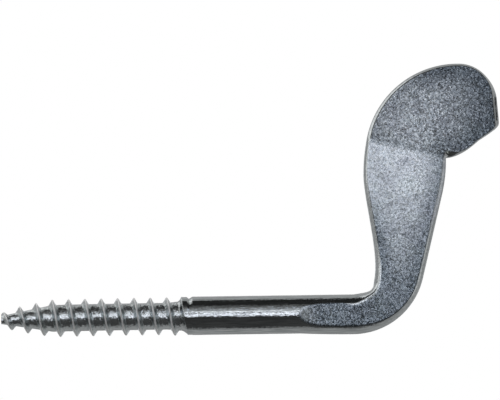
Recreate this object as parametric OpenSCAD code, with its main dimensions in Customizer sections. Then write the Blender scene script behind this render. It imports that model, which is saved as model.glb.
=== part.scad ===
// Screw hook: one plated steel rod with a wood-screw thread, a plain shank and a flattened blade.
// The shank lies along X with the point at -X, the blade stands up along +Z, and its front faces -Y.
// The origin is on the shank's axis, where the thread's last turn has fully run into the shank.

/* [Shank] */
// Diameter of the plain shank
shank_d = 6; // [5:0.1:8]
// Length from the thread's shoulder to the inner corner of the elbow
shank_l = 28.6; // [20:0.1:60]
// Length of the slope from the thread's core up to the shank, at its longest
shoulder_l = 1.1; // [0.6:0.05:1.5]
// How far back the shank reaches at the top, where the thread's last turn runs into it
shoulder_back = 1.2; // [0.4:0.05:2]
// How far back the shank reaches at the bottom
shoulder_start = 0.2; // [0:0.05:0.4]
// Length of the collar that rolling left at the end of the shank
collar_l = 0.45; // [0.2:0.05:1]
// How far the collar lies under the shank's surface
collar_depth = 0.04; // [0.02:0.01:0.1]
// Depth of the groove across the top of the collar
groove_depth = 0.28; // [0.1:0.02:0.4]

/* [Thread] */
// Length of the thread, from the tip to the shank
thread_l = 29.2; // [18:0.1:60]
// Diameter over the thread's crests
thread_d = 5.84; // [4.8:0.02:6]
// Diameter of the core between the crests
core_d = 4.16; // [3:0.02:4.6]
// How far the core rises in its last turn
core_rise = 0.2; // [0.05:0.01:0.4]
// Rise of the thread in one turn
thread_pitch = 2.54; // [1.8:0.02:4]
// Width of the thread at its foot
thread_foot_w = 1.2; // [0.8:0.05:1.6]
// Width of the thread at its crest
thread_crest_w = 0.2; // [0.1:0.02:0.5]
// Length of the tapered point
point_l = 8; // [5:0.1:14]
// How far the tip has sagged below the shank's axis
point_sag = 0.25; // [0:0.01:0.5]
// Length over which the thread rises to its full height
thread_in_l = 2.6; // [2:0.1:10]
// Diameter of the core at the blunt tip
tip_d = 1.25; // [0.8:0.05:2]
// Turn of the thread about the shank's axis
thread_start_deg = 132; // [0:1:359]

/* [Flats] */
// Length of the flats on the shank, up to where the elbow begins
flat_l = 8.17; // [4:0.01:16]
// How deep each flat is pressed where the elbow begins
flat_depth = 0.5; // [0.2:0.02:1]
// How deep each flat is where it first touches the shank
flat_start_depth = 0.02; // [0.01:0.01:0.05]

/* [Elbow] */
// Outer radius of the elbow
elbow_r = 11.2; // [8:0.1:16]
// How far before the inner corner the elbow begins
elbow_lead_l = 3.03; // [2:0.01:6]
// How far the squeezed rod spreads below the shank at the elbow
elbow_drop = 0.22; // [0.05:0.01:0.6]
// How far the inner corner rises above the shank
corner_rise = 0.42; // [0.1:0.02:1]
// Lean of the blade's outer edge
outer_lean_deg = 13.7; // [6:0.1:20]

/* [Blade] */
// Width of the blade at the end of the elbow
neck_w = 7.6; // [6:0.05:9]
// Thickness of the blade at the end of the elbow
neck_t = 3.8; // [2.8:0.05:4.6]
// Width of the blade at its widest place under the crease
hip_w = 12.9; // [10:0.1:16]
// Height of that widest place above the shank's axis
hip_h = 21.1; // [16:0.1:30]
// Height of the notch above that widest place
notch_l = 2.85; // [1.5:0.05:5]
// Thickness of the blade at the crease
crease_t = 2.3; // [1.6:0.05:3]

/* [Toe] */
// Length of the crease, from the notch to the inner edge
crease_l = 12.7; // [11:0.05:15]
// Slope of the crease, falling towards the notch
crease_fall_deg = 13.5; // [5:0.5:20]
// How far the toe is bent back at the crease
toe_bend_deg = 18; // [5:0.5:40]
// Radius of that bend in the middle of the sheet
crease_r = 2.4; // [1.8:0.1:5]
// Radius of the toe's long outer curve
toe_r = 14.66; // [12:0.02:17]
// Lean of the edge where that curve begins
toe_lean_deg = 11.2; // [4:0.1:16]
// Turn of that curve
toe_turn_deg = 80; // [75:0.2:95]
// Radius of the toe's rounded upper corner
toe_corner_r = 5.95; // [4:0.05:7]
// Slope of the toe's end face
toe_end_deg = 6.2; // [2:0.1:15]
// Distance from the notch to the toe's lower corner
toe_reach = 8.45; // [7:0.05:11]
// Height of the toe's lower corner above the notch
toe_rise = 4.75; // [3:0.05:6]
// Thickness of the toe at its end
toe_t = 1.5; // [1:0.05:2]
// How far the toe's end face slants back towards the front
toe_end_slant = 0.55; // [0.1:0.05:1]
// Depth of the rounding at the toe's end
toe_end_round = 0.4; // [0.2:0.05:0.8]

/* [Hidden] */
// Facets of a round, and of the thread in one turn
$fn = 96;
turn_steps = 30;
// Steps round one rounded side of the blade, and across one flat
side_steps = 10;
flat_steps = 4;
right_angle = 90;
half_turn = 180;
full_turn = 360;
shank_r = shank_d / 2;
collar_r = shank_r - collar_depth;
// Where the flats and the elbow begin along the shank
elbow_x = shank_l - elbow_lead_l;
flat_x = elbow_x - flat_l;
// The blade's skin begins inside the shank, smaller than it, and comes out just past its end
buried_share = 0.9;
buried_l = shank_r / 3;
emerge_l = shank_r / 20;
// How much steeper the inner edge is at the elbow
corner_swell_share = 0.42;
// How much of the shoulder's slanting way its foot follows
foot_turn_share = 0.55;
// Middle of the shoulder's hollow slope, as shares of its length and its height
hollow_shares = [0.5, 0.36];
// Where the groove begins and is deepest, as shares of the way from the shoulder to the plain shank
groove_shares = [0.54, 0.74];
// How soon the groove dies out round the collar
groove_power = 4;
// Rows of the thread over one pitch: the root, one flank, the crest and the other flank
foot_limit_share = 0.8;
foot_share = min(thread_foot_w / thread_pitch, foot_limit_share);
crest_share = min(thread_crest_w / thread_pitch, foot_share / 2);
thread_row_shares = [
    0,
    0.5 - foot_share / 2,
    0.5 - (foot_share + crest_share) / 4,
    0.5 - crest_share / 2,
    0.5 + crest_share / 2,
    0.5 + (foot_share + crest_share) / 4,
    0.5 + foot_share / 2
];
// Height of the thread at each row: the flanks are a little hollow
thread_rise_shares = [0, 0.06, 0.45, 1, 1, 0.45, 0.06];
thread_rows = len(thread_row_shares);
// Share of the thread's height at the tip
thread_in_share = 0.55;
// How late the sag of the thread sets in towards the tip
sag_power = 3;
// How soon the flats reach their depth
flat_sink_power = 5;
// Inner edge of the blade: shares of the way across and up from the neck to the hip
inner_edge_shares = [[0, 0], [-0.55, 0.25], [0.86, 0.72], [1, 1]];
// Lower edge of the toe: shares of its reach and rise from the notch
toe_edge_shares = [[0, 0], [0.25, 0.02], [0.62, 0.55], [1, 0.97]];
// Share of the toe's end face that its lower corner takes
toe_corner_share = 0.22;
// How much of the outer edge is straight, and which share of the sections that straight takes
outer_straight_share = 0.82;
outer_line_share = 0.7;
// Share of the blade's sections that meet the inner edge below the hip
inner_line_share = 0.75;
// Share of the toe's lower edge that lies before its corner
toe_line_share = 0.72;
// Share of the thickness that is gone at the toe's rounded end
end_shrink_share = 0.9;
// Share of the toe's length after which its sections begin to slant
slant_start_share = 0.7;
// How much rounder the toe's lower edge is beside the notch, and between which shares of the toe's length
notch_round_share = 0.45;
notch_round_shares = [0.02, 0.75];
// How long the sections of the toe stay at the notch, and how close a curve runs into its corner
notch_stay_power = 2.2;
corner_power = 3;
// Places of the sections along each stretch
flat_shares = [0.06, 0.15, 0.27, 0.42, 0.6, 0.8, 1];
elbow_shares = [0.1, 0.2, 0.3, 0.4, 0.5, 0.6, 0.7, 0.8, 0.9, 1];
blade_shares = [0.08, 0.18, 0.28, 0.39, 0.5, 0.6, 0.7, 0.79, 0.87, 0.94, 0.98, 1];
toe_shares = [0.016, 0.05, 0.1, 0.16, 0.23, 0.3, 0.38, 0.46, 0.54, 0.62, 0.69, 0.75, 0.81, 0.87, 0.93, 1];
toe_end_shares = [0.4, 0.7, 0.9, 1];

// Corners and centres in the blade's plane, as [x, z]
inner_corner = [shank_l, shank_r + corner_rise];
elbow_centre = [elbow_x, elbow_r - shank_r - elbow_drop];
elbow_turn_deg = right_angle - outer_lean_deg;
elbow_end = elbow_centre + elbow_r * [sin(elbow_turn_deg), -cos(elbow_turn_deg)];
neck_in = [elbow_end[0] - neck_w, elbow_end[1]];
hip_out = [elbow_end[0] + (hip_h - elbow_end[1]) * tan(outer_lean_deg), hip_h];
hip_in = [hip_out[0] - hip_w, hip_h];
line_end = elbow_end + (hip_out - elbow_end) * outer_straight_share;
notch = hip_out + [0, notch_l];
crease_in = notch + crease_l * [-cos(crease_fall_deg), sin(crease_fall_deg)];
crease_side = [sin(crease_fall_deg), cos(crease_fall_deg)];
crease_half_l = crease_r * sin(toe_bend_deg) / 2;
toe_handle = [hip_in[0], crease_in[1] - (crease_in[0] - hip_in[0]) / tan(toe_lean_deg)];
toe_centre = crease_in + toe_r * [cos(toe_lean_deg), -sin(toe_lean_deg)];
toe_start_deg = half_turn - toe_lean_deg;
toe_top_deg = toe_start_deg - toe_turn_deg;
corner_centre = toe_centre + (toe_r - toe_corner_r) * [cos(toe_top_deg), sin(toe_top_deg)];
toe_arc_l = toe_r * toe_turn_deg;
corner_arc_l = toe_corner_r * (toe_top_deg - toe_end_deg);
toe_arc_share = toe_arc_l / (toe_arc_l + corner_arc_l);
end_start_deg = acos(cos(toe_end_deg) - toe_end_round / toe_corner_r);
end_start_share = blend(toe_arc_share, 1, (toe_top_deg - end_start_deg) / (toe_top_deg - toe_end_deg));
toe_end_top = corner_centre + toe_corner_r * [cos(toe_end_deg), sin(toe_end_deg)];
toe_low = notch + [toe_reach, toe_rise];
toe_end_low = toe_low + (toe_end_top - toe_low) * toe_corner_share;

function blend(a, b, s) = a + (b - a) * s;
function ease(s) = s * s * (3 - 2 * s);
function bow(a, b, c, s) = blend(blend(a, b, s), blend(b, c, s), s);
function curve(a, b, c, d, s) = blend(bow(a, b, c, s), bow(b, c, d, s), s);
// A curve that runs close into a corner
function snug(a, corner, b, s) =
    corner + (a - corner) * pow(1 - s, corner_power) + (b - corner) * pow(s, corner_power);
// A place given as shares of the way from one corner to the opposite one
function placed(from, to, shares) = [blend(from[0], to[0], shares[0]), blend(from[1], to[1], shares[1])];
function on_circle(centre, radius, angle) = centre + radius * [cos(angle), sin(angle)];

// How far a value has come from one place to another, held between 0 and 1
function part_of(value, from, to) = max(0, min(1, (value - from) / (to - from)));
// Radius of the thread's core at a distance from the tip
function core_r(along) =
    let (
        last_turn = part_of(along, thread_l - shoulder_l - thread_pitch, thread_l - shoulder_l)
    )
    blend(tip_d, core_d, part_of(along, 0, point_l)) / 2 + core_rise * ease(last_turn);
// Height of the thread there
function thread_h(along) =
    (thread_d - core_d) / 2 * blend(thread_in_share, 1, part_of(along, 0, thread_in_l));
// Share of the thread's height at a share of the pitch
function thread_rise(phase) =
    lookup(phase, concat(
        [for (row = [0 : thread_rows - 1]) [thread_row_shares[row], thread_rise_shares[row]]],
        [[1, thread_rise_shares[0]]]
    ));
// Edge and foot of the shoulder along X: it slants, because the thread's last turn runs into it at the top
function top_share(angle) = (1 + cos(angle)) / 2;
function edge_x(angle) = -blend(shoulder_start, shoulder_back, top_share(angle));
function foot_x(angle) = edge_x(angle) * foot_turn_share - shoulder_l;
// An angle is counted from the top of the shank towards its front
function turn_angle(step) = step / turn_steps * full_turn + thread_start_deg;
function sag(x) = point_sag * pow(max(0, -x) / thread_l, sag_power);
function on_rod(x, radius, angle) = [x, -radius * sin(angle), radius * cos(angle) - sag(x)];
function thread_radius(along, turn) =
    let (
        pitches = along / thread_pitch - turn + 1
    )
    core_r(along) + thread_h(along) * thread_rise(pitches - floor(pitches));
// One point of the thread's skin: a step of the turn, and a row counted from one turn before the tip
function thread_point(step, row) =
    let (
        turn = step / turn_steps,
        angle = turn_angle(step),
        wanted = (floor(row / thread_rows) - 1 + thread_row_shares[row % thread_rows] + turn) * thread_pitch,
        along = max(0, min(thread_l + foot_x(angle), wanted))
    )
    on_rod(along - thread_l, thread_radius(along, turn), angle);
// The points that follow at a step: the hollow slope, the collar with its groove, the end inside the shank
function shoulder_points(step) =
    let (
        angle = turn_angle(step),
        foot = foot_x(angle),
        edge = edge_x(angle),
        foot_r = thread_radius(thread_l + foot, step / turn_steps),
        groove_r = collar_r - groove_depth * pow(top_share(angle), groove_power)
    )
    [
        on_rod(blend(foot, edge, hollow_shares[0]), blend(foot_r, collar_r, hollow_shares[1]), angle),
        on_rod(edge, collar_r, angle),
        on_rod(blend(edge, collar_l, groove_shares[0]), collar_r, angle),
        on_rod(blend(edge, collar_l, groove_shares[1]), groove_r, angle),
        on_rod(collar_l, collar_r, angle),
        on_rod(collar_l + buried_l, collar_r, angle)
    ];

// Triangles between two neighbouring rings of a skin
function strip(near, over, far, far_over) = [[near, far, over], [over, far, far_over]];
// Triangles that close a ring towards its middle
function cap(middle, ring_start, count, turned) = [
    for (i = [0 : count - 1])
        let (
            a = ring_start + i,
            b = ring_start + (i + 1) % count
        )
        turned ? [middle, b, a] : [middle, a, b]
];

module thread() {
    last_row = (ceil(thread_l / thread_pitch) + 1) * thread_rows;
    shoulder = [for (step = [0 : turn_steps - 1]) shoulder_points(step)];
    shoulder_rows = len(shoulder[0]);
    end_row = last_row + shoulder_rows;
    points = concat(
        [for (row = [0 : last_row], step = [0 : turn_steps - 1]) thread_point(step, row)],
        [for (row = [0 : shoulder_rows - 1], step = [0 : turn_steps - 1]) shoulder[step][row]]
    );
    ends = [[-thread_l, 0, -point_sag], [collar_l + buried_l, 0, 0]];
    // After a full turn a row of the thread runs on as the row one pitch further
    thread_skin = [
        for (row = [0 : last_row - 1], step = [0 : turn_steps - 1])
            let (
                wraps = step == turn_steps - 1,
                near = row * turn_steps + step,
                far = near + turn_steps,
                over = wraps ? min(row + thread_rows, last_row) * turn_steps : near + 1,
                far_over = wraps ? min(row + 1 + thread_rows, last_row) * turn_steps : far + 1
            )
            each strip(near, over, far, far_over)
    ];
    shoulder_skin = [
        for (row = [last_row : end_row - 1], step = [0 : turn_steps - 1])
            let (
                near = row * turn_steps + step,
                over = row * turn_steps + (step + 1) % turn_steps
            )
            each strip(near, over, near + turn_steps, over + turn_steps)
    ];
    polyhedron(
        concat(points, ends),
        concat(
            thread_skin,
            shoulder_skin,
            cap(len(points), 0, turn_steps, false),
            cap(len(points) + 1, end_row * turn_steps, turn_steps, true)
        )
    );
}

module shank() {
    rotate([0, right_angle, 0])
        translate([0, 0, collar_l])
            cylinder(r = shank_r, h = flat_x - collar_l);
}

// Long edge of the toe, which runs on from the inner edge of the blade to the end face
function toe_long_edge(s) = s < toe_arc_share
    ? on_circle(toe_centre, toe_r, blend(toe_start_deg, toe_top_deg, s / toe_arc_share))
    : on_circle(corner_centre, toe_corner_r,
        blend(toe_top_deg, toe_end_deg, (s - toe_arc_share) / (1 - toe_arc_share)));
// Lower edge of the toe, from the notch to the end face
function toe_low_edge(s) =
    let (
        knots = [for (shares = toe_edge_shares) placed(notch, toe_low, shares)]
    )
    s < toe_line_share
        ? bow(knots[0], knots[1], knots[2], s / toe_line_share)
        : snug(knots[2], knots[3], toe_end_low, (s - toe_line_share) / (1 - toe_line_share));
function blade_inner(s) =
    let (
        knots = [for (shares = inner_edge_shares) placed(neck_in, hip_in, shares)]
    )
    s < inner_line_share
        ? curve(knots[0], knots[1], knots[2], knots[3], s / inner_line_share)
        : bow(hip_in, toe_handle, crease_in, (s - inner_line_share) / (1 - inner_line_share));
function blade_outer(s) = s < outer_line_share
    ? blend(elbow_end, line_end, s / outer_line_share)
    : bow(line_end, hip_out, notch, (s - outer_line_share) / (1 - outer_line_share));

// A section is its inner end, its outer end, half its thickness, the half heights of the ellipses
// that round its inner and outer sides, and how far its front slants back
function flat_section(s) =
    let (
        x = flat_x + flat_l * s,
        spread = 1 - (1 - s) * (1 - s),
        depth = blend(flat_start_depth, flat_depth, 1 - pow(1 - s, flat_sink_power))
    )
    [[x, shank_r], [x, -shank_r - elbow_drop * spread], shank_r - depth, shank_r, shank_r, 0];
function elbow_section(s) = [
    snug([elbow_x, shank_r], inner_corner, neck_in, s),
    on_circle(elbow_centre, elbow_r, elbow_turn_deg * s - right_angle),
    blend(shank_r - flat_depth, neck_t / 2, ease(s)),
    shank_r * (1 + corner_swell_share * pow(sin(half_turn * s), 2)),
    shank_r,
    0
];
function blade_section(s) =
    [blade_inner(s), blade_outer(s), blend(neck_t, crease_t, s) / 2, shank_r, shank_r, 0];
// The last sections of the toe shrink, which rounds its end
function toe_section(s) =
    let (
        low_s = pow(s, notch_stay_power),
        slant = toe_end_slant * ease(part_of(s, slant_start_share, 1)),
        shrink = sqrt(1 - end_shrink_share * pow(part_of(s, end_start_share, 1), 2)),
        half_t = blend(crease_t, toe_t, s) / 2 * shrink,
        side_h = shank_r * shrink,
        beside_notch = sin(half_turn * part_of(s, notch_round_shares[0], notch_round_shares[1])),
        low_h = side_h * (1 - notch_round_share * pow(beside_notch, 2))
    )
    [toe_long_edge(s), toe_low_edge(low_s), half_t, side_h, low_h, slant];

// The bend at the crease: the tilt of the sheet at a distance past the crease, and how far back it lies
function bend_tilt(across) =
    asin(max(0, min(2 * crease_half_l, across + crease_half_l)) / crease_r);
function bend_back(across) =
    crease_r * (1 - cos(bend_tilt(across))) + max(0, across - crease_half_l) * tan(toe_bend_deg);
function bent(place, offset, slant) =
    let (
        across = (place - notch) * crease_side
    )
    [place[0] - slant, bend_back(across) + offset / cos(bend_tilt(across)), place[1]];

// One section as a ring: the outer side from front to back, the back flat, the inner side, the front flat
function ring(cut) =
    let (
        middle = (cut[0] + cut[1]) / 2,
        reach = (cut[1] - cut[0]) / 2,
        half_t = cut[2],
        inner_deg = asin(half_t / cut[3]),
        outer_deg = asin(half_t / cut[4]),
        flat_start = middle + reach * cos(outer_deg),
        flat_end = middle - reach * cos(inner_deg),
        spots = concat(
            [for (i = [0 : side_steps])
                let (angle = blend(-outer_deg, outer_deg, i / side_steps))
                [middle + reach * cos(angle), cut[4] * sin(angle)]],
            [for (i = [1 : flat_steps - 1]) [blend(flat_start, flat_end, i / flat_steps), half_t]],
            [for (i = [0 : side_steps])
                let (angle = blend(inner_deg, -inner_deg, i / side_steps))
                [middle - reach * cos(angle), cut[3] * sin(angle)]],
            [for (i = [1 : flat_steps - 1]) [blend(flat_end, flat_start, i / flat_steps), -half_t]]
        )
    )
    [for (spot = spots) bent(spot[0], spot[1], cut[5] * (1 - spot[1] / half_t) / 2)];
function mean_point(points) = [for (p = points) 1 / len(points)] * points;

module blade() {
    start_half = shank_r - flat_start_depth;
    small_r = shank_r * buried_share;
    buried_x = flat_x - buried_l;
    first_x = flat_x + emerge_l;
    cuts = concat(
        [[[buried_x, small_r], [buried_x, -small_r], start_half * buried_share, small_r, small_r, 0]],
        [[[first_x, shank_r], [first_x, -shank_r], start_half, shank_r, shank_r, 0]],
        [for (s = flat_shares) flat_section(s)],
        [for (s = elbow_shares) elbow_section(s)],
        [for (s = blade_shares) blade_section(s)],
        [for (s = toe_shares) toe_section(s * end_start_share)],
        [for (s = toe_end_shares) toe_section(blend(end_start_share, 1, s))]
    );
    rings = [for (cut = cuts) ring(cut)];
    count = len(rings[0]);
    last = len(rings) - 1;
    points = [for (one = rings) each one];
    ends = [mean_point(rings[0]), mean_point(rings[last])];
    skin = [
        for (i = [0 : last - 1], j = [0 : count - 1])
            let (
                near = i * count + j,
                over = i * count + (j + 1) % count
            )
            each strip(near, over, near + count, over + count)
    ];
    polyhedron(
        concat(points, ends),
        concat(skin, cap(len(points), 0, count, false), cap(len(points) + 1, last * count, count, true))
    );
}

module screw_hook() {
    color([0.62, 0.63, 0.67])
        union() {
            thread();
            shank();
            blade();
        }
}

screw_hook();
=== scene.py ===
# %% [markdown]
# # A screw hook in zinc-plated steel
# This lesson dresses a screw hook for a studio picture. The real hook is one steel rod: a wood-screw
# thread is rolled on one end, the other end is bent up, squeezed flat into a leaf-shaped blade and
# bent once more into a toe. The CAD model gives the frame, and every piece made here is in its metres.

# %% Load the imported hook
import math

import bmesh
import bpy
import numpy as np
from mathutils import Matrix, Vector


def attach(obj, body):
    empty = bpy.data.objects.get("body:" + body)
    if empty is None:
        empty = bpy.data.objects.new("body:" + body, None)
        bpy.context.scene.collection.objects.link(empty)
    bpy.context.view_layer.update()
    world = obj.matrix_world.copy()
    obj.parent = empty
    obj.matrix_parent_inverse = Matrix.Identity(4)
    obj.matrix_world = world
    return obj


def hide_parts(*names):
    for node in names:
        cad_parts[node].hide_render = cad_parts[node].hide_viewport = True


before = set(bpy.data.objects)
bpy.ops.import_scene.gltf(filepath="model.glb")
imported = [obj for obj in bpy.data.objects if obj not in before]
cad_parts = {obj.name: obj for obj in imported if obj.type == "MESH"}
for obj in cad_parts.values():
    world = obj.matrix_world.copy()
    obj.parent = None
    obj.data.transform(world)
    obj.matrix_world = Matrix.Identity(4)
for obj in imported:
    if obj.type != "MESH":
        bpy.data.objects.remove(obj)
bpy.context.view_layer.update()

# %% [markdown]
# ## The sizes
# The CAD solid is right in its main form, but its skin is made of flat facets, which a mirror-bright
# plating would show. So the hook's skin is worked out again on a much finer grid from the same sizes.
# They are in millimetres, and the finished mesh is turned to metres at the end.

# %% Sizes of the rod and its thread
MM = 0.001
# A hair under 3 mm, so that the true round stays inside the box of the facets.
shank_r, shank_l = 2.991, 28.6
shoulder_l, shoulder_back, shoulder_start = 1.1, 1.2, 0.2
collar_l, collar_depth, groove_depth = 0.45, 0.04, 0.28
thread_l, thread_r, core_r, core_rise = 29.2, 2.92, 2.08, 0.2
thread_pitch, thread_foot_w, crest_round = 2.54, 1.2, 0.12
thread_start_deg, thread_in_l, thread_in_share = 132.0, 2.6, 0.55
point_l, point_sag, tip_r = 8.0, 0.25, 0.625
print("thread", 2 * thread_r, "mm over the crests and", 2 * core_r, "mm at the core")

# %% Sizes of the flats, the elbow, the blade and the toe
flat_l, flat_depth, flat_start_depth = 8.17, 0.5, 0.02
elbow_r, elbow_lead_l, elbow_drop, corner_rise, outer_lean_deg = 11.2, 3.03, 0.22, 0.42, 13.7
neck_w, neck_t, hip_w, hip_h, notch_l, crease_t = 7.6, 3.8, 12.9, 21.1, 2.85, 2.3
crease_l, crease_fall_deg, toe_bend_deg, crease_r = 12.7, 13.5, 18.0, 2.4
toe_r, toe_lean_deg, toe_turn_deg, toe_corner_r, toe_end_deg = 14.65, 11.2, 80.0, 5.95, 6.2
toe_reach, toe_rise, toe_t, toe_end_slant, toe_end_round = 8.45, 4.75, 1.5, 0.55, 0.4
print("shank", 2 * shank_r, "mm thick, thread", thread_l, "mm long, blade", hip_w, "mm wide")

# %% [markdown]
# ## The outline of the flattened end
# Seen from the front, the flattened end lies between two edges: an inner one that runs on round the
# toe's long curve, and an outer one that runs round the elbow and up to the notch. They could be drawn
# as Bezier objects, but plain formulas give a point for any share of the way, on whole arrays at once.

# %% Small curves that the edges are made of
def blend(a, b, s):
    """The straight way from a to b: a plus the share s of the step between them."""
    return a + (b - a) * s


def ease(s):
    """Three s squared less two s cubed: a way from 0 to 1 that leaves and arrives level."""
    return s * s * (3 - 2 * s)


def part_of(s, start, end):
    """How far s has come from start to end, held between 0 and 1."""
    return np.clip((s - start) / (end - start), 0, 1)


def bow(a, b, c, s):
    """A curve from a to c that leans towards b: a blend of two blends."""
    return blend(blend(a, b, s), blend(b, c, s), s)


def snug(a, corner, b, s):
    """A curve from a to b close into a corner: the corner plus the cubes of the ways to both ends."""
    return corner + (a - corner) * (1 - s) ** 3 + (b - corner) * s ** 3


def on_circle(centre, radius, degrees):
    """A circle's point: its centre plus the radius times the cosine and sine of the angle."""
    angle = np.radians(degrees)
    return centre + radius * np.concatenate([np.cos(angle), np.sin(angle)], axis=-1)


def way(degrees):
    """The unit step at an angle above the X axis."""
    return np.array([math.cos(math.radians(degrees)), math.sin(math.radians(degrees))])


print("a bow from 0 past 1 back to 0 comes up to", bow(0, 1, 0, 0.5))

# %% Corners of the elbow and the blade, as x and z
elbow_x = shank_l - elbow_lead_l
flat_x = elbow_x - flat_l
inner_corner = np.array([shank_l, shank_r + corner_rise])
elbow_centre = np.array([elbow_x, elbow_r - shank_r - elbow_drop])
elbow_end = elbow_centre + elbow_r * way(-outer_lean_deg)
neck_in = elbow_end - [neck_w, 0]
outer_slope = math.tan(math.radians(outer_lean_deg))
hip_out = np.array([elbow_end[0] + (hip_h - elbow_end[1]) * outer_slope, hip_h])
hip_in = hip_out - [hip_w, 0]
# The outer edge is straight over this share of the way to the hip.
line_share = 0.82
line_end = blend(elbow_end, hip_out, line_share)
print("elbow ends at", elbow_end.round(2), "and the hip is at", hip_out.round(2))

# %% Corners of the crease and the toe
notch = hip_out + [0, notch_l]
crease_in = notch + crease_l * way(180 - crease_fall_deg)
crease_side = way(90 - crease_fall_deg)
toe_slope = math.tan(math.radians(toe_lean_deg))
toe_handle = np.array([hip_in[0], crease_in[1] - (crease_in[0] - hip_in[0]) / toe_slope])
toe_centre = crease_in + toe_r * way(-toe_lean_deg)
toe_start_deg = 180 - toe_lean_deg
toe_top_deg = toe_start_deg - toe_turn_deg
corner_turn_deg = toe_top_deg - toe_end_deg
corner_centre = toe_centre + (toe_r - toe_corner_r) * way(toe_top_deg)
toe_arc, corner_arc = toe_r * toe_turn_deg, toe_corner_r * corner_turn_deg
toe_arc_share = toe_arc / (toe_arc + corner_arc)
toe_end_top = corner_centre + toe_corner_r * way(toe_end_deg)
toe_low = notch + [toe_reach, toe_rise]
# The lower corner takes up this share of the cut at the toe's end.
end_low_share = 0.22
toe_end_low = blend(toe_low, toe_end_top, end_low_share)
# The end's thickness is rounded off from this angle on, which is this share of the toe's long edge.
end_start_deg = math.degrees(math.acos(way(toe_end_deg)[0] - toe_end_round / toe_corner_r))
end_start = toe_arc_share + (1 - toe_arc_share) * (toe_top_deg - end_start_deg) / corner_turn_deg
print("notch at", notch.round(2), "inner end of the crease at", crease_in.round(2))

# %% The two edges of the blade and of the toe
# Knots of the bows, as shares of the step from an edge's first point to its last.
inner_knots = neck_in + (hip_in - neck_in) * [[0, 0], [-0.55, 0.25], [0.86, 0.72], [1, 1]]
toe_knots = notch + (toe_low - notch) * [[0, 0], [0.25, 0.02], [0.62, 0.55], [1, 0.97]]
# Shares of the way at which an edge goes over from its first curve into its second.
inner_turn, outer_turn, low_turn = 0.75, 0.7, 0.72


def blade_inner(s):
    """From the neck to the hip on a blend of two bows, then on a bow up to the crease."""
    low = part_of(s, 0, inner_turn)
    up = blend(bow(*inner_knots[:3], low), bow(*inner_knots[1:], low), low)
    return np.where(s < inner_turn, up, bow(hip_in, toe_handle, crease_in, part_of(s, inner_turn, 1)))


def blade_outer(s):
    """Straight from the elbow, then on a bow round the hip into the notch."""
    straight = blend(elbow_end, line_end, part_of(s, 0, outer_turn))
    return np.where(s < outer_turn, straight, bow(line_end, hip_out, notch, part_of(s, outer_turn, 1)))


def toe_long_edge(s):
    """Two arcs in a row: the toe's long curve and its upper corner."""
    long_deg = blend(toe_start_deg, toe_top_deg, part_of(s, 0, toe_arc_share))
    corner_deg = blend(toe_top_deg, toe_end_deg, part_of(s, toe_arc_share, 1))
    return np.where(s < toe_arc_share, on_circle(toe_centre, toe_r, long_deg),
                    on_circle(corner_centre, toe_corner_r, corner_deg))


def toe_low_edge(s):
    """A bow out of the notch, then a curve close round the toe's lower corner."""
    out = bow(*toe_knots[:3], part_of(s, 0, low_turn))
    corner = snug(toe_knots[2], toe_knots[3], toe_end_low, part_of(s, low_turn, 1))
    return np.where(s < low_turn, out, corner)


print("the toe's long edge ends at", toe_long_edge(np.ones((1, 1)))[0].round(2))

# %% [markdown]
# ## Sections along the rod
# A squeezed rod is still round at its sides and flat only where the press met it. So each cross-section
# is an ellipse cut off at the front and back. A curve with a bevel profile could carry one section
# along, but here it changes all the way. So a section is given by its two ends, half its thickness and
# the half heights of the ellipse at its inner and outer side, and a stretch is a whole array of sections.
# Each section also says how the press left the metal there, and how much light or shade is painted on its
# face, which the finish reads later.

# %% One row for each section
# The ridge between flat and round is rounded over this many millimetres.
ridge_round = 0.09
# Where the grain begins at a ridge, in widths of that rounding. Above 0 the ridge stays bright, below 0
# the grain runs over it, and far below 0 it runs on to the rim.
bright_ridge, half_bright_ridge, grained_ridge, grained_rim = 1, 0.7, -1.5, -7
# How coarse the grain is, and how wide in millimetres the darker margin beside a ridge is: partly duller
# grit, partly painted shade.
even_grain, even_margin = 1, 2.2


def shares(count, start=0.0, power=1.0):
    """A column of shares from start to 1; a power above 1 sets them closer together at the start."""
    return start + (1 - start) * np.linspace(0, 1, count)[:, None] ** power


def cut(inner, outer, half_t, inner_h, outer_h, slant=0, ridge=ridge_round,
        bare_in=half_bright_ridge, bare_out=half_bright_ridge, rim=0, burnish_and_painted_light=0, kept=1,
        margin=even_margin, grained=even_grain, press=1):
    """One row for each section: its two ends, its shape, how the press left its ridges and face, and painted
    light and shade.
    """
    shape = (half_t, inner_h, outer_h, slant, ridge)
    face = (bare_in, bare_out, rim, burnish_and_painted_light, kept, margin, grained, press)
    return np.hstack([inner, outer, *(np.broadcast_to(value, half_t.shape) for value in shape + face)])


print("ridges rounded over", ridge_round, "mm")

# %% The plain shank and the flats
# In every stretch, the two numbers in a part_of are shares of the way along that stretch.
# The step up from the collar ends at this many collar lengths, and this many radii cut nothing off.
collar_step, uncut = 1.3, 1.1
# How fast the flats sink and the rod's underside drops, and the share of the flats that is the tongue.
sink_power, drop_power, tongue_part = 5, 2, 0.3
# Burnishing levels, which also paint the light and shade: light on the tongue, shade on the flats.
tongue_burnish_and_light, flat_burnish_and_light, tongue_grain, flat_margin = 0.6, 0.05, 0.8, 0.6


def shank_stretch(x):
    """A plain round that steps up from the collar, with a thickness that cuts nothing off."""
    full = shank_r - collar_depth * (1 - ease(part_of(x, collar_l, collar_step * collar_l)))
    return cut(np.hstack([x, full]), np.hstack([x, -full]), uncut * full, full, full)


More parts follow.
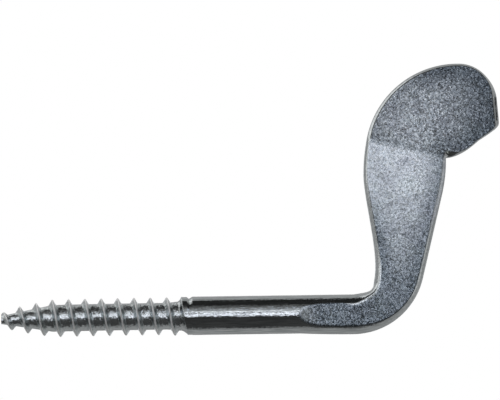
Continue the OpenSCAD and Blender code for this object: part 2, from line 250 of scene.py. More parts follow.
def flat_stretch(s):
    """The flats sink fast at first, then level out; with s below 0 they lie outside the round rod."""
    x = flat_x + flat_l * s
    full = np.full_like(x, shank_r)
    depth = blend(flat_start_depth, flat_depth, 1 - (1 - s) ** sink_power)
    low = -full - elbow_drop * np.maximum(1 - (1 - s) ** drop_power, 0)
    return cut(np.hstack([x, full]), np.hstack([x, low]), full - depth, full, full,
               bare_in=blend(grained_ridge, bright_ridge, ease(part_of(s, 0.75, 1))), bare_out=grained_ridge,
               burnish_and_painted_light=blend(tongue_burnish_and_light, flat_burnish_and_light, part_of(s, 0, 0.35)), margin=flat_margin,
               grained=blend(tongue_grain, even_grain, part_of(s, 0, tongue_part)))


print("flats", flat_l, "mm long and", flat_depth, "mm deep")

# %% The elbow and the blade
# At the inner corner the ridge is rounded this much more, in mm, and the side swells by this share.
corner_ridge, corner_swell = 0.45, 0.42
# kept is the share of the burnishing, and of the light painted with it, that is left in the margin at the
# inner side, where the margin is painted shade.
elbow_grain, elbow_kept = 1.2, 0.75
# Burnishing from the neck to the crease paints the blade dark at the neck and light towards the crease.
neck_burnish_and_light, crease_burnish_and_light, burnish_and_light_power = 0.08, 1, 0.72
neck_grain, neck_kept, crease_kept, blade_margin = 1.3, 0, 0.9, 2.8


def elbow_stretch(s):
    """The inner end turns close round the corner, and the outer end goes round the elbow's arc."""
    inner = snug(np.array([elbow_x, shank_r]), inner_corner, neck_in, s)
    outer = on_circle(elbow_centre, elbow_r, (90 - outer_lean_deg) * s - 90)
    half_t = blend(shank_r - flat_depth, neck_t / 2, ease(s))
    round_corner = np.sin(np.pi * s) ** 2
    return cut(inner, outer, half_t, shank_r * (1 + corner_swell * round_corner), shank_r,
               ridge=ridge_round + corner_ridge * round_corner, bare_in=bright_ridge, bare_out=grained_ridge,
               burnish_and_painted_light=blend(flat_burnish_and_light, neck_burnish_and_light, s), kept=elbow_kept, grained=elbow_grain)


def blade_stretch(s):
    """Between the blade's edges, thinning evenly from the neck to the crease."""
    return cut(blade_inner(s), blade_outer(s), blend(neck_t, crease_t, s) / 2, shank_r, shank_r,
               bare_in=blend(bright_ridge, grained_ridge, ease(part_of(s, 0.05, 0.3))),
               bare_out=blend(grained_ridge, grained_rim, ease(part_of(s, 0.35, 0.6))),
               rim=ease(part_of(s, 0.3, 0.55)), margin=blade_margin,
               burnish_and_painted_light=blend(neck_burnish_and_light, crease_burnish_and_light, s ** burnish_and_light_power),
               kept=blend(neck_kept, crease_kept, ease(part_of(s, 0.25, 0.7))),
               grained=blend(neck_grain, even_grain, s))


print("blade from", neck_t, "mm thick at the neck to", crease_t, "mm at the crease")

# %% The toe
# The low edge is rounder by up to this share, and leaves the notch slowly, with this power of the way.
notch_round, low_edge_power = 0.45, 2.2
# How far the section shrinks at the very end, and the share of the rounded end that has grain.
end_shrink, end_grained = 0.9, 0.4
# The toe is painted light, darker towards its end, and darker next to the crease by the last share here:
# painted shade.
toe_burnish_and_light, end_burnish_and_light, crease_shade_share = 0.98, 0.03, 0.55
toe_kept, end_kept, toe_grain, toe_margin = 0.75, 0.03, 1.4, 4


def toe_stretch(s):
    """Between the toe's edges; near the notch the low edge is slow and rounder, and the end shrinks."""
    shrink = np.sqrt(1 - end_shrink * part_of(s, end_start, 1) ** 2)
    lip = 1 - notch_round * np.sin(np.pi * part_of(s, 0.02, 0.75)) ** 2
    past_crease = part_of(s, 0, 0.04)
    # Painted light on the toe, fading to painted shade at its end and next to the crease.
    burnish_and_painted_light = blend(toe_burnish_and_light, end_burnish_and_light, ease(part_of(s, 0.38, 1)))
    return cut(toe_long_edge(s), toe_low_edge(s ** low_edge_power), blend(crease_t, toe_t, s) / 2 * shrink,
               shank_r * shrink, shank_r * shrink * lip, slant=ease(part_of(s, 0.7, 1)),
               bare_out=blend(grained_rim, grained_ridge, past_crease), rim=1 - past_crease,
               burnish_and_painted_light=burnish_and_painted_light * blend(crease_shade_share, 1, ease(part_of(s, 0, 0.14))), grained=toe_grain,
               kept=blend(toe_kept, end_kept, ease(part_of(s, 0.25, 0.6))),
               margin=blend(blade_margin, toe_margin, part_of(s, 0, 0.5)),
               press=1 - part_of(s, end_start, blend(end_start, 1, end_grained)))


print("toe down to", toe_t, "mm thick, bent back by", toe_bend_deg, "degrees")

# %% All sections in a row, closer together where the form changes fast
tongue_lead, fine_collar, notch_crowding, end_crowding = 0.05, 1.5, 1.15, 1.6
tongue_x = flat_x - flat_l * tongue_lead
sections = np.vstack([
    shank_stretch(np.linspace(collar_l, fine_collar * collar_l, 6)[:-1, None]),
    shank_stretch(np.linspace(fine_collar * collar_l, tongue_x, 14)[:-1, None]),
    flat_stretch(np.linspace(-tongue_lead, tongue_part, 40)[:-1, None]),
    flat_stretch(shares(26, tongue_part)[:-1]),
    elbow_stretch(shares(56)[:-1]),
    blade_stretch(shares(70)[:-1]),
    toe_stretch(end_start * shares(92, power=notch_crowding)[:-1]),
    toe_stretch(1 - (1 - end_start) * (1 - shares(12)) ** end_crowding),
])
print(len(sections), "sections along the rod")

# %% [markdown]
# ## From sections to a skin
# Each section becomes a ring of points. The ring could have even steps, but the press leaves a ridge
# where flat meets round, and that ridge takes the brightest glint on the hook. So the steps crowd
# together at the ridge, and the cut is rounded there by a soft minimum instead of a hard corner.

# %% Helpers for the rings
side_steps, flat_steps, side_crowding, flat_crowding = 14, 22, 1.7, 0.9


def soft_min(a, b, width):
    """The smaller of a and b, less a parabola where they are nearly equal: the corner becomes a round."""
    near = np.maximum(width - np.abs(a - b), 0) / width
    return np.minimum(a, b) - near ** 2 * width / 4


def bend_back(across):
    """How far back the sheet lies and its tilt: level, then a circle's arc, then a straight slope."""
    half = crease_r * math.sin(math.radians(toe_bend_deg)) / 2
    tilt = np.arcsin(np.clip(across + half, 0, 2 * half) / crease_r)
    slope = math.tan(math.radians(toe_bend_deg))
    return crease_r * (1 - np.cos(tilt)) + np.maximum(across - half, 0) * slope, tilt


def front_places(inner_edge, outer_edge):
    """Places over the front of a ring from -1 to 1: cosines on the sides, and crowded steps on the flat."""
    side = 1 - (1 - np.linspace(0, 1, side_steps + 1)[:-1]) ** side_crowding
    flat = np.linspace(0, 1, flat_steps + 1)
    flat = flat - flat_crowding * np.sin(2 * np.pi * flat) / (2 * np.pi)
    inner = -np.cos(inner_edge * side)
    outer = np.cos(outer_edge * side[::-1])
    return np.hstack([inner, blend(-np.cos(inner_edge), np.cos(outer_edge), flat), outer])


print("the front of a ring has", 2 * side_steps + flat_steps + 1, "places")

# %% Rings of the flattened rod
# How much of the press's grain is on the drawn rod and on the rolled thread.
drawn_grain, rolled_grain = 0.2, 1.1
# The grain sets in over this many widths of the ridge's rounding.
grain_edge = 0.8
# The darker margin at the outer side, partly duller grit and partly painted shade, is wider, and this share
# of the burnishing and its painted light is left there.
outer_wider, outer_kept = 1.3, 0.2
# A painted highlight lightens the outer edge from just before the ridge to just past it, in millimetres.
rim_from, rim_to = -0.15, 0.1


def rings(cuts, round_edge):
    """Each ring: middle plus place times reach, with the soft minimum of flat and ellipse as its height."""
    inner, outer = cuts[:, 0:2], cuts[:, 2:4]
    (half_t, inner_h, outer_h, slant, ridge, bare_in, bare_out,
     rim, burnish_and_painted_light, kept, margin, grained, press) = cuts[:, 4:].T[..., None]
    edges = [np.minimum(np.arcsin(np.minimum(half_t / high, 1)), round_edge) for high in (inner_h, outer_h)]
    place = front_places(*edges)
    oval = np.where(place < 0, inner_h, outer_h) * np.sqrt(np.maximum(1 - place ** 2, 0))
    ridge = np.where(place < 0, ridge, ridge_round)
    height = soft_min(oval, half_t, ridge)
    plane = (inner + outer)[:, None, :] / 2 + place[..., None] * (outer - inner)[:, None, :] / 2
    back, tilt = bend_back((plane - notch) @ crease_side)
    shift = toe_end_slant * slant / 2
    lean = shift * np.minimum(height / half_t, 1)
    front = np.stack([plane[..., 0] - shift - lean, back - height / np.cos(tilt), plane[..., 1]], axis=-1)
    rear = np.stack([plane[..., 0] - shift + lean, back + height / np.cos(tilt), plane[..., 1]], axis=-1)
    bare = np.where(place < 0, bare_in, bare_out)
    pressed = press * part_of(oval - half_t, bare * ridge, (bare + grain_edge) * ridge)
    reach = np.linalg.norm(outer - inner, axis=1, keepdims=True) / 2
    near_in = ease(part_of((np.cos(edges[0]) + place) * reach, 0, margin))
    near_out = ease(part_of((np.cos(edges[1]) - place) * reach, 0, outer_wider * margin))
    # Darker margins towards the faces' edges are partly duller grit and partly painted shade.
    burnish_and_painted_light = burnish_and_painted_light * blend(kept, 1, near_in) * blend(outer_kept, 1, near_out)
    # A painted highlight along the outer edge.
    burnish_and_painted_light = blend(burnish_and_painted_light, 1, rim * part_of((place - np.cos(edges[1])) * reach, rim_from, rim_to))
    grained = blend(drawn_grain, grained, pressed)
    return [np.hstack([ahead, behind[:, -2:0:-1]])
            for ahead, behind in ((front, rear), (pressed, pressed), (burnish_and_painted_light, burnish_and_painted_light), (grained, grained))]


# Nothing is cut off the plain shank, so its steps crowd together at this angle instead, which goes over
# into the angle at which the tongue starts.
plain_edge = math.radians(60)
tongue_edge = math.asin(1 - flat_start_depth / shank_r)
along_shank = np.clip(sections[:, 0:1] / tongue_x, 0, 1)
round_edge = blend(plain_edge, tongue_edge, ease(along_shank))
rod_points, rod_pressed, rod_burnish_and_light, rod_grained = rings(sections, round_edge)
ring_steps = rod_points.shape[1]
print(len(rod_points), "rings of", ring_steps, "points")

# %% [markdown]
# ## The thread
# A wood screw's thread is rolled: the crest is pushed up out of the rod, so it is thin, with hollow
# flanks, and the core is thinner than the shank. A Screw modifier could sweep a profile, but it can't
# taper the point or let the crest run out at the shoulder. Here the radius is a function of the place
# along the screw and the angle round it, and the grid's rows follow the helix, so each crest is smooth.

# %% The thread's radius
flank_hollow = 0.3
flank_end = math.hypot(thread_foot_w / 2, crest_round)
last_turn_end = thread_l - shoulder_l


def thread_radius(along, angle):
    """The core's taper plus the crest's height times its shape at the distance from the nearest crest."""
    last_turn = part_of(along, last_turn_end - thread_pitch, last_turn_end)
    core = blend(tip_r, core_r, part_of(along, 0, point_l)) + core_rise * ease(last_turn)
    rise = blend(thread_in_share, 1, part_of(along, 0, thread_in_l))
    phase = along / thread_pitch - (angle - math.radians(thread_start_deg)) / (2 * np.pi)
    off_crest = np.abs(phase - np.floor(phase) - 0.5) * thread_pitch
    flank = 1 - part_of(np.hypot(off_crest, crest_round), crest_round, flank_end)
    return core + (thread_r - core_r) * rise * blend(flank, flank ** 2, flank_hollow)


def on_screw(x, radius, angle):
    """A point at an angle from the top to the front: minus sine to the back, cosine up, less the sag."""
    sag = point_sag * np.maximum(-x / thread_l, 0) ** 3
    return np.stack([x + 0 * radius, -radius * np.sin(angle), radius * np.cos(angle) - sag], axis=-1)


print("crests", round(thread_r - core_r, 2), "mm over the core")

# %% Rows of one turn, closest together at the crest and at the foot of the flank
foot_share, crest_share = thread_foot_w / thread_pitch / 2, crest_round / thread_pitch
crest_rows = np.array([0, 0.5, 1, 1.6, 2.3]) * crest_share
flank_rows = foot_share * np.array([0.55, 0.7, 0.85, 0.97, 1, 1.03])
core_rows = [0.33, 0.41, 0.5]
half_rows = np.concatenate([crest_rows, flank_rows, core_rows])
row_shares = 0.5 + np.concatenate([-half_rows[::-1], half_rows[1:-1]])
turn_rows = len(row_shares)
# Rolling closes the metal at the crest last, which leaves it rough there; the crest's colour is also
# whitened there, a painted highlight: fully up to the first of these distances from the crest, in mm, and
# not at all past the second.
worn_from, worn_to = 0.06, 0.16
row_worn_and_highlight = 1 - part_of(np.abs(row_shares - 0.5) * thread_pitch, worn_from, worn_to)
print(turn_rows, "rows a turn")

# %% Rows along the helix, from the tip to the shoulder
ring_angle = np.arctan2(-rod_points[0, :, 1], rod_points[0, :, 2]) % (2 * np.pi)
# The shoulder slants, because the last turn runs into it: at the top its edge is nearer the tip, and its
# foot slants by this share of that.
foot_slant = 0.55
top_share = (1 + np.cos(ring_angle)) / 2
edge_x = -blend(shoulder_start, shoulder_back, top_share)
foot_x = foot_slant * edge_x - shoulder_l
# The spare turns at both ends are clipped to the tip and to the shoulder's foot.
spare_turns = 2
turns = np.arange(-spare_turns, math.ceil(thread_l / thread_pitch) + spare_turns)
rows = (turns[:, None] + row_shares).reshape(-1, 1)
along = (rows + (ring_angle - math.radians(thread_start_deg)) / (2 * np.pi)) * thread_pitch
along = np.clip(along, 0, thread_l + foot_x)
thread_points = on_screw(along - thread_l, thread_radius(along, ring_angle), ring_angle)
print("thread of", len(rows), "rows,", round(thread_l / thread_pitch, 1), "turns")

# %% The slope of the shoulder, and the collar with its short groove at the top
slope_crowding, slope_hollow = 0.8, 1.5
groove_start, groove_floor, groove_power = 0.54, 0.74, 4
up = shares(14) ** slope_crowding
foot_r = thread_radius(thread_l + foot_x, ring_angle)
slope_r = blend(foot_r, shank_r - collar_depth, up ** slope_hollow)
slope_points = on_screw(blend(foot_x, edge_x, up), slope_r, ring_angle)
on = np.concatenate([
    np.linspace(0, groove_start, 7)[1:],
    np.linspace(groove_start, groove_floor, 6)[1:],
    np.linspace(groove_floor, 1, 8)[1:-1],
])[:, None]
groove_form = np.minimum(part_of(on, groove_start, groove_floor), 1 - part_of(on, groove_floor, 1))
groove = groove_depth * top_share ** groove_power * groove_form
collar_points = on_screw(blend(edge_x, collar_l, on), shank_r - collar_depth - groove, ring_angle)
shoulder_points = np.vstack([slope_points, collar_points])
print("shoulder and collar of", len(shoulder_points), "rings")

# %% [markdown]
# ## One closed mesh
# The thread and the rod share the same ring of points where they meet, so the two grids join into one
# skin. After one turn a row of the thread runs on as the row one pitch further, and the two ends are
# closed with a fan. Doubles are merged, and the mesh is tested: every edge must have two faces.

# %% All points, and what each of them carries for the finish
rod_points = np.vstack([shoulder_points, rod_points])
unpressed = np.zeros(shoulder_points.shape[:2])
rod_pressed, rod_burnish_and_light = np.vstack([unpressed, rod_pressed]), np.vstack([unpressed, rod_burnish_and_light])
rod_grained = np.vstack([unpressed + drawn_grain, rod_grained])
thread_count = thread_points.shape[0] * ring_steps
rod_count = rod_points.shape[0] * ring_steps
tip = np.array([[-thread_l, 0, -point_sag]])
toe_middle = rod_points[-1].mean(axis=0, keepdims=True)
points = np.vstack([thread_points.reshape(-1, 3), rod_points.reshape(-1, 3), tip, toe_middle]) * MM

on_thread, on_rod = np.zeros(thread_count), np.zeros(rod_count)
thread_worn_and_highlight = np.repeat(np.tile(row_worn_and_highlight, len(turns)), ring_steps)
# The thread's points come first, then the rod's, then the middles of the tip and of the toe's end.
carried = {
    "pressed": (on_thread, rod_pressed.ravel(), [0, 0]),
    "burnish_and_painted_light": (on_thread, rod_burnish_and_light.ravel(), [0, 0]),
    "grained": (on_thread + rolled_grain, rod_grained.ravel(), [rolled_grain, drawn_grain]),
    "rolled": (on_thread + 1, on_rod, [1, 0]),
    "worn_and_highlight": (thread_worn_and_highlight, on_rod, [0, 0]),
}
print(len(points), "points, which carry", ", ".join(carried))

# %% Faces of the two grids and the two ends
def grid_faces(row_count, first, wrap_rows=0):
    """Quads between neighbouring rows and columns; the last column joins the first, wrap_rows further on."""
    index = first + np.arange(row_count * ring_steps).reshape(row_count, ring_steps)
    shifted = index[np.minimum(np.arange(row_count) + wrap_rows, row_count - 1), :1]
    over = np.hstack([index[:, 1:], shifted])
    return np.stack([index[:-1], over[:-1], over[1:], index[1:]], axis=-1).reshape(-1, 4)


def fan(ring, middle, turned):
    """Triangles from each point of a ring and the next one to its middle; turned, they face the other way."""
    corners = np.stack([ring, np.roll(ring, -1), np.full_like(ring, middle)], axis=-1)
    return corners[:, ::-1] if turned else corners


first_ring = np.arange(ring_steps)
last_ring = thread_count + rod_count - ring_steps + np.arange(ring_steps)
faces = [
    *grid_faces(thread_points.shape[0], 0, turn_rows).tolist(),
    *grid_faces(rod_points.shape[0], thread_count).tolist(),
    *fan(first_ring, len(points) - 2, True).tolist(),
    *fan(last_ring, len(points) - 1, False).tolist(),
]
print(len(faces), "faces before merging")

# %% Put the skin into a mesh and test it
double_gap, sliver_gap = 0.002 * MM, 0.0005 * MM
hook_mesh = bpy.data.meshes.new("screw_hook_skin")
hook_mesh.from_pydata(points, [], faces)
for name, stretches in carried.items():
    attribute = hook_mesh.attributes.new(name, "FLOAT", "POINT")
    attribute.data.foreach_set("value", np.concatenate(stretches).astype(np.float32))

skin = bmesh.new()
skin.from_mesh(hook_mesh)
bmesh.ops.remove_doubles(skin, verts=skin.verts, dist=double_gap)
bmesh.ops.dissolve_degenerate(skin, edges=skin.edges, dist=sliver_gap)
bmesh.ops.recalc_face_normals(skin, faces=skin.faces)
open_edges = sum(len(edge.link_faces) != 2 for edge in skin.edges)
volume = skin.calc_volume(signed=True) / MM ** 3
triangles = sum(len(face.verts) - 2 for face in skin.faces)
skin.to_mesh(hook_mesh)
skin.free()
hook_mesh.shade_smooth()
print("edges without two faces:", open_edges, " volume", round(volume, 1), "mm3 ", triangles, "triangles")

# %% The hook takes the place of the CAD node
hook = bpy.data.objects.new("screw_hook_skin", hook_mesh)
bpy.context.collection.objects.link(hook)
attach(hook, "root")
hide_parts("screw_hook")
print(hook.name, "has", len(hook_mesh.vertices), "points")

# %% [markdown]
# ## The finish: clear zinc plating on steel
# Electroplated zinc copies the steel under it. Where the rod was drawn it is smooth, and the plating is
# almost a mirror with fine lines along the rod. The rolled thread is duller, and its crests are rough, and
# lighter in colour, which is partly a painted highlight. Where the press squeezed the rod, the steel was
# roughened, and the plating is a fine sparkling grit, bluish to violet. Its colour is also darker or lighter
# along the blade and towards its edges, which is partly painted shade and light. These could be several
# materials on groups of faces, but their borders are soft. So one material does it all and reads from the
# mesh, point by point, how each place was made and how much light or shade is painted there.

# %% Colours and one helper for nodes
def linear(code):
    """A colour written as sRGB hex, turned to the linear values that shaders use."""
    values = np.array([int(code[k:k + 2], 16) for k in (1, 3, 5)]) / 255
    values = np.where(values <= 0.04045, values / 12.92, ((values + 0.055) / 1.055) ** 2.4)
    return (*values.tolist(), 1.0)


def add_node(tree, kind, values=None, links=None, **settings):
    """Adds one node: settings are its properties, values fill sockets, links join sockets to outputs."""
    made = tree.nodes.new(kind)
    for name, value in settings.items():
        setattr(made, name, value)
    for socket, value in (values or {}).items():
        made.inputs[socket].default_value = value
    for socket, source in (links or {}).items():
        tree.links.new(source, made.inputs[socket])
    return made


print("a middle grey, #808080, is", round(linear("#808080")[0], 3), "of white light")

# %% Zinc-plated steel: what the mesh carries, and its patterns, with their sizes in millimetres
zinc = bpy.data.materials.new("zinc_plated_steel")
zinc.use_nodes = True
tree = zinc.node_tree
tree.nodes.clear()
coords = add_node(tree, "ShaderNodeTexCoord").outputs["Object"]
press, burnish_and_light_fac, grainy, roll, crest = [
    add_node(tree, "ShaderNodeAttribute", attribute_name=name).outputs["Fac"] for name in carried]

# Grit of the pressed steel: grains that each tilt their own way, and specks of light and dark. The real
# grit is finer than the picture can show, so both are drawn this coarse.
grain_w, speck_w = 0.21, 0.22
grain = add_node(tree, "ShaderNodeTexVoronoi", {"Scale": 1 / (grain_w * MM)}, {"Vector": coords})
grit = add_node(tree, "ShaderNodeTexNoise", {"Scale": 1 / (speck_w * MM), "Detail": 3.0, "Roughness": 0.75},
                {"Vector": coords})
# Cloudy patches, where the bath left the zinc a little brighter or duller, and more violet or green.
cloud_w = 3.5
cloud = add_node(tree, "ShaderNodeTexNoise", {"Scale": 1 / (cloud_w * MM), "Detail": 4.0, "Roughness": 0.75},
                 {"Vector": coords}).outputs["Fac"]
# Drawing lines along the rod. The real ones are finer too, and are drawn this far apart to show.
line_gap, line_l = 1 / 3, 10 / 3
line_scale = (1 / (line_l * MM), 1 / (line_gap * MM), 1 / (line_gap * MM))
lines_at = add_node(tree, "ShaderNodeMapping", {"Scale": line_scale}, {"Vector": coords})
lines = add_node(tree, "ShaderNodeTexNoise", {"Scale": 1.0, "Detail": 3.0, "Roughness": 0.65},
                 {"Vector": lines_at.outputs["Vector"]}).outputs["Fac"]
print("patterns of", grain_w, speck_w, cloud_w, "and", round(line_gap, 2), "mm")

# %% The colour of the drawn rod, the rolled thread and its crests, whose near-white is partly a painted highlight
# A Mix node for colours has its factor on socket 0, its colours on 6 and 7, and the result on output 2.
# The crests' near-white colour is partly a painted highlight along each crest.
wire_dark, wire_light, rolled_grey, crest_highlight_white = "#BDC2C3", "#DDE2E3", "#D8DDDE", "#FBFBFA"
streak = add_node(tree, "ShaderNodeMapRange", {"From Min": 0.38, "From Max": 0.62}, {"Value": lines})
wire = add_node(tree, "ShaderNodeMix", {6: linear(wire_dark), 7: linear(wire_light)},
                {0: streak.outputs["Result"]}, data_type="RGBA")
smooth = add_node(tree, "ShaderNodeMix", {7: linear(rolled_grey)}, {0: roll, 6: wire.outputs[2]},
                  data_type="RGBA")
drawn = add_node(tree, "ShaderNodeMix", {7: linear(crest_highlight_white)}, {0: crest, 6: smooth.outputs[2]},
                 data_type="RGBA")
print("drawn rod from", wire_dark, "to", wire_light)

# %% The colour of the pressed faces: specks of light on dark, both lighter with burnishing, which also paints their light and shade
# From the dull to the burnishing end the specks grow lighter: partly the finish, partly painted light and
# shade.
dull_shaded_dark, burnished_lit_dark, dull_shaded_light, burnished_lit_light = "#515A62", "#D5DBE1", "#AEB5BC", "#FDFDFE"
violet_tint, green_tint, even_speck = "#F6F4FC", "#F0FAF8", 0.5
duller, brighter = 0.7, 1.3
patch = add_node(tree, "ShaderNodeMapRange",
                 {"From Min": 0.35, "From Max": 0.65, "To Min": duller, "To Max": brighter}, {"Value": cloud})
shine = add_node(tree, "ShaderNodeMath", links={0: burnish_and_light_fac, 1: patch.outputs["Result"]},
                 operation="MULTIPLY", use_clamp=True).outputs["Value"]
dark = add_node(tree, "ShaderNodeMix", {6: linear(dull_shaded_dark), 7: linear(burnished_lit_dark)}, {0: shine},
                data_type="RGBA")
light = add_node(tree, "ShaderNodeMix", {6: linear(dull_shaded_light), 7: linear(burnished_lit_light)}, {0: shine},
                 data_type="RGBA")
speck = add_node(tree, "ShaderNodeMapRange", {"From Min": 0.43, "From Max": 0.57},
                 {"Value": grit.outputs["Fac"]})
speckled = add_node(tree, "ShaderNodeMix", {2: even_speck}, {0: grainy, 3: speck.outputs["Result"]})
specks = add_node(tree, "ShaderNodeMix", data_type="RGBA",
                  links={0: speckled.outputs[0], 6: dark.outputs[2], 7: light.outputs[2]})
tint = add_node(tree, "ShaderNodeMix", {6: linear(violet_tint), 7: linear(green_tint)}, {0: cloud},
                data_type="RGBA")
plated = add_node(tree, "ShaderNodeMix", {0: 1.0}, {6: specks.outputs[2], 7: tint.outputs[2]},
                  data_type="RGBA", blend_type="MULTIPLY")
colour = add_node(tree, "ShaderNodeMix", links={0: press, 6: drawn.outputs[2], 7: plated.outputs[2]},
                  data_type="RGBA")
print("dull grit from", dull_shaded_dark, "to", dull_shaded_light)

# %% Its roughness, its relief and the shader
plated_rough, pressed_rough, rolled_share, crest_rougher = 0.09, 0.34, 0.52, 0.4
line_depth, grain_tilt = 0.03, 0.25
dulled = add_node(tree, "ShaderNodeMath", {1: rolled_share}, {0: roll, 2: press}, operation="MULTIPLY_ADD")
satin = add_node(tree, "ShaderNodeMapRange", {"To Min": plated_rough, "To Max": pressed_rough},
                 {"Value": dulled.outputs["Value"]})
rough = add_node(tree, "ShaderNodeMath", {1: crest_rougher}, {0: crest, 2: satin.outputs["Result"]},
                 operation="MULTIPLY_ADD")
untouched = add_node(tree, "ShaderNodeMath", {0: 1.0}, {1: press}, operation="SUBTRACT")
line_relief = add_node(tree, "ShaderNodeBump", {"Distance": line_depth * MM},
                       {"Strength": untouched.outputs["Value"], "Height": lines})
# Each grain's random colour, less its middle, is the way in which the grain tilts.
off = add_node(tree, "ShaderNodeVectorMath", {1: (0.5, 0.5, 0.5)}, {0: grain.outputs["Color"]},
               operation="SUBTRACT")
tilt = add_node(tree, "ShaderNodeMath", {1: grain_tilt}, {0: grainy}, operation="MULTIPLY")
grain_lean = add_node(tree, "ShaderNodeVectorMath", operation="SCALE",
                      links={0: off.outputs["Vector"], "Scale": tilt.outputs["Value"]})
turned = add_node(tree, "ShaderNodeVectorMath", operation="ADD",
                  links={0: line_relief.outputs["Normal"], 1: grain_lean.outputs["Vector"]})
facing = add_node(tree, "ShaderNodeVectorMath", links={0: turned.outputs["Vector"]}, operation="NORMALIZE")
shader = add_node(tree, "ShaderNodeBsdfPrincipled", {"Metallic": 1.0},
                  {"Base Color": colour.outputs[2], "Roughness": rough.outputs["Value"],
                   "Normal": facing.outputs["Vector"]})
add_node(tree, "ShaderNodeOutputMaterial", links={"Surface": shader.outputs["BSDF"]})
hook_mesh.materials.append(zinc)
print("zinc-plated steel with", len(tree.nodes), "nodes")

# %% [markdown]
# ## The studio
# Bright metal has hardly any colour of its own: what the eye sees is the room in it. The bands on the
# real shank suggest a broad soft light close above the camera, a dark room, and a pale sheet behind the
# hook. One large lamp would give one even streak along the shank, but the real streak is brightest
# below and fades upwards. So the light is five strips, each at its own level. Smaller softboxes reach
# the faces that are turned away from it, and the world is dark in front and pale behind.

# %% The pale sheet behind the hook, as the metal mirrors it
world = bpy.data.worlds.new("studio")
bpy.context.scene.world = world
world.use_nodes = True
tree = world.node_tree
tree.nodes.clear()
direction = add_node(tree, "ShaderNodeTexCoord").outputs["Generated"]
# The sheet leans back, so how far behind a direction lies is its way along Y, less a part of its way up.
sheet_lean = math.radians(12)
behind = add_node(tree, "ShaderNodeVectorMath", {1: (0, math.cos(sheet_lean), -math.sin(sheet_lean))},
                  {0: direction}, operation="DOT_PRODUCT")
behind_share = add_node(tree, "ShaderNodeMapRange", {"From Min": -1.0, "From Max": 1.0},
                        {"Value": behind.outputs["Value"]})
sheet_colour = add_node(tree, "ShaderNodeValToRGB", links={"Fac": behind_share.outputs["Result"]})
# Its level at shares of the way from straight in front to straight behind.
sheet_start, sheet_end = (0.532, 0), (1.0, 0.18)
stops = sheet_colour.color_ramp.elements
for stop, (place, level) in zip(stops, (sheet_start, sheet_end)):
    stop.position, stop.color = place, (level, level, level, 1)
for place, level in ((0.568, 0.31), (0.75, 0.33), (0.93, 0.345), (0.97, 0.27)):
    stops.new(place).color = (level, level, level, 1)
print("sheet with", len(stops), "levels")

# %% The sheet is brighter above, and dimmer at its upper right and lower left corners
sheet_low, sheet_high, corner_level = 0.79, 1.23, 0.7
apart = add_node(tree, "ShaderNodeSeparateXYZ", links={0: direction}).outputs
rising = add_node(tree, "ShaderNodeMapRange", {"From Min": -1.0, "To Min": sheet_low, "To Max": sheet_high},
                  {"Value": apart["Z"]})
above = add_node(tree, "ShaderNodeMapRange",
                 {"From Min": -0.4, "From Max": -0.15, "To Min": -1.0, "To Max": 1.0}, {"Value": apart["Z"]})
cornered = add_node(tree, "ShaderNodeMath", links={0: apart["X"], 1: above.outputs["Result"]},
                    operation="MULTIPLY")
dimmer = add_node(tree, "ShaderNodeMapRange",
                  {"From Min": 0.5, "From Max": 0.7, "To Min": 1.0, "To Max": corner_level},
                  {"Value": cornered.outputs["Value"]})
sheet_level = add_node(tree, "ShaderNodeMath", operation="MULTIPLY",
                       links={0: rising.outputs["Result"], 1: dimmer.outputs["Result"]})
sheet = add_node(tree, "ShaderNodeBackground",
                 links={"Color": sheet_colour.outputs["Color"], "Strength": sheet_level.outputs["Value"]})
print("sheet from", sheet_low, "below to", sheet_high, "above")

# %% The dark room round it, and what the camera and the floor see instead
# Mirrored rays see the sheet and the gloom, the camera sees white, and all other rays see an even dim.
gloom_low, gloom_high, dim_level, white_level = 0.06, 0.022, 0.75, 1.0
white_light = (1, 1, 1, 1)
gloom = add_node(tree, "ShaderNodeMapRange", {"From Min": -1.0, "To Min": gloom_low, "To Max": gloom_high},
                 {"Value": apart["Z"]})
dark_room = add_node(tree, "ShaderNodeBackground", links={"Strength": gloom.outputs["Result"]})
mirrored_room = add_node(tree, "ShaderNodeAddShader", links={0: sheet.outputs[0], 1: dark_room.outputs[0]})
dim = add_node(tree, "ShaderNodeBackground", {"Color": white_light, "Strength": dim_level})
white = add_node(tree, "ShaderNodeBackground", {"Color": white_light, "Strength": white_level})
ray = add_node(tree, "ShaderNodeLightPath").outputs
mirrored = add_node(tree, "ShaderNodeMath", operation="MAXIMUM",
                    links={0: ray["Is Glossy Ray"], 1: ray["Is Transmission Ray"]})
unseen = add_node(tree, "ShaderNodeMixShader",
                  links={0: mirrored.outputs[0], 1: dim.outputs[0], 2: mirrored_room.outputs[0]})
seen = add_node(tree, "ShaderNodeMixShader",
                links={0: ray["Is Camera Ray"], 1: unseen.outputs[0], 2: white.outputs[0]})
add_node(tree, "ShaderNodeOutputWorld", links={"Surface": seen.outputs[0]})
print("world with", len(tree.nodes), "nodes, white to the camera")

# %% The softboxes, all at the same distance from the hook's middle
aim, lamp_distance = Vector((12.0 * MM, 0.0, 15.0 * MM)), 0.32


def softbox(name, azimuth, elevation, width, height, level, colour):
    """A rectangular lamp aimed at the hook; its power is pi times its area times the level it shows."""
    a, e = math.radians(azimuth), math.radians(elevation)
    towards = Vector((math.sin(a) * math.cos(e), -math.cos(a) * math.cos(e), math.sin(e)))
    lamp = bpy.data.lights.new(name, "AREA")
    lamp.shape, lamp.size, lamp.size_y = "RECTANGLE", width, height
    lamp.energy, lamp.color = math.pi * width * height * level, colour
    made = bpy.data.objects.new(name, lamp)
    made.location = aim + towards * lamp_distance
    made.rotation_mode = "QUATERNION"
    made.rotation_quaternion = towards.to_track_quat("Z", "Y")
    made.visible_camera = False
    bpy.context.collection.objects.link(made)


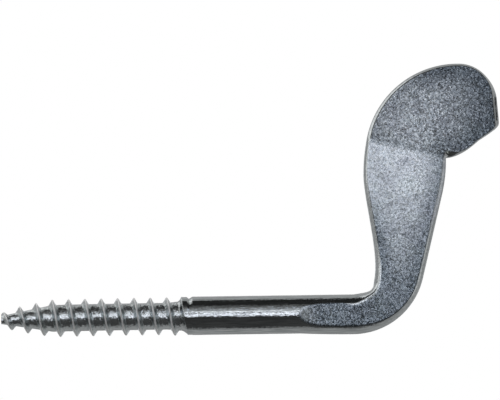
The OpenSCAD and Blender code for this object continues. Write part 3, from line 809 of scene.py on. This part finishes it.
# Azimuth and elevation in degrees, width and height in metres, the level and the colour.
softboxes = {
    # The five strips of the broad light, from below upwards.
    "lower_softbox": (-18, 2.4, 0.40, 0.058, 1.9, (0.90, 0.92, 1.0)),
    "main_softbox": (-18, 18.2, 0.40, 0.030, 2.0, (0.93, 0.95, 1.0)),
    "high_softbox": (-16, 26.5, 0.40, 0.062, 0.55, (0.95, 0.97, 1.0)),
    "middle_softbox": (-14, 38.5, 0.38, 0.070, 0.2, (1, 1, 1)),
    "upper_softbox": (-10, 52.5, 0.36, 0.072, 0.11, (1, 1, 1)),
    # The bent-back toe and the tongue of the flats mirror places of their own.
    "toe_softbox": (19, 36, 0.15, 0.10, 0.59, (0.79, 0.86, 1.0)),
    "tongue_softbox": (28, 0, 0.13, 0.10, 0.5, (0.97, 1.0, 0.95)),
    # The rounded sides of the blade, its upper rim, and the back.
    "left_softbox": (-81, 18, 0.27, 0.27, 0.65, (1, 1, 1)),
    "right_softbox": (81, -11, 0.27, 0.26, 0.33, (1, 1, 1)),
    "rim_softbox": (-122, 42, 0.26, 0.26, 0.5, (1, 1, 1)),
    "back_softbox": (180, -4, 0.26, 0.13, 0.65, (0.95, 0.97, 1.0)),
}
for name, settings in softboxes.items():
    softbox(name, *settings)
print(len(softboxes), "softboxes,", round(lamp_distance / MM), "mm from the hook")

# %% [markdown]
# ## The floor
# A pale floor under the hook takes its shadow in views from other sides. It could be a large plane, but
# its edge would show against the white, and from below it would hide the hook. So it is a disc that
# fades out towards its rim and can only be seen from above.

# %% The floor's disc
floor_r, floor_z, floor_steps = 0.2, -0.045, 64
floor_turn = np.linspace(0, 2 * np.pi, floor_steps + 1)[:-1]
floor_rim = np.stack(
    [floor_r * np.cos(floor_turn), floor_r * np.sin(floor_turn), 0 * floor_turn + floor_z], axis=-1)
floor_mesh = bpy.data.meshes.new("floor")
floor_mesh.from_pydata(floor_rim, [], [list(range(floor_steps))])
floor = bpy.data.objects.new("floor", floor_mesh)
bpy.context.collection.objects.link(floor)
floor.visible_glossy = False
print("floor", round(-floor_z / MM), "mm under the shank's axis")

# %% Its matt paper
fade_from, fade_to = 0.08, 0.19
pale = bpy.data.materials.new("pale_floor")
pale.use_nodes = True
tree = pale.node_tree
tree.nodes.clear()
floor_coords = add_node(tree, "ShaderNodeTexCoord").outputs["Object"]
away = add_node(tree, "ShaderNodeVectorMath", links={0: floor_coords}, operation="LENGTH")
fade = add_node(tree, "ShaderNodeMapRange", {"From Min": fade_from, "From Max": fade_to},
                {"Value": away.outputs["Value"]})
matt = add_node(tree, "ShaderNodeBsdfDiffuse", {"Color": linear("#F0F0EE")})
clear = add_node(tree, "ShaderNodeBsdfTransparent")
from_below = add_node(tree, "ShaderNodeNewGeometry").outputs["Backfacing"]
gone = add_node(tree, "ShaderNodeMath", links={0: fade.outputs["Result"], 1: from_below},
                operation="MAXIMUM")
paper = add_node(tree, "ShaderNodeMixShader",
                 links={0: gone.outputs["Value"], 1: matt.outputs[0], 2: clear.outputs[0]})
add_node(tree, "ShaderNodeOutputMaterial", links={"Surface": paper.outputs[0]})
floor_mesh.materials.append(pale)
print("floor fades out from", round(fade_from / MM), "to", round(fade_to / MM), "mm")

# %% [markdown]
# ## The camera
# The hook fills the frame from side to side, so the camera's distance follows from the lens and the
# width that the picture shows. A long lens keeps the two ends of the hook in the same scale.

# %% The camera, square to the blade and turned a little about its own axis
frame_w, lens, sensor_w, roll_deg = 77.72, 500.0, 36.0, 0.8
camera_x, camera_z = 9.73, 17.88
camera_data = bpy.data.cameras.new("camera")
camera_data.lens, camera_data.sensor_width = lens, sensor_w
camera = bpy.data.objects.new("camera", camera_data)
camera.location = (camera_x * MM, -frame_w * lens / sensor_w * MM, camera_z * MM)
camera.rotation_euler = (math.pi / 2, math.radians(roll_deg), 0)
bpy.context.collection.objects.link(camera)
bpy.context.scene.camera = camera
bpy.context.scene.view_settings.view_transform = "Standard"
print("camera", round(-camera.location.y / MM), "mm away")
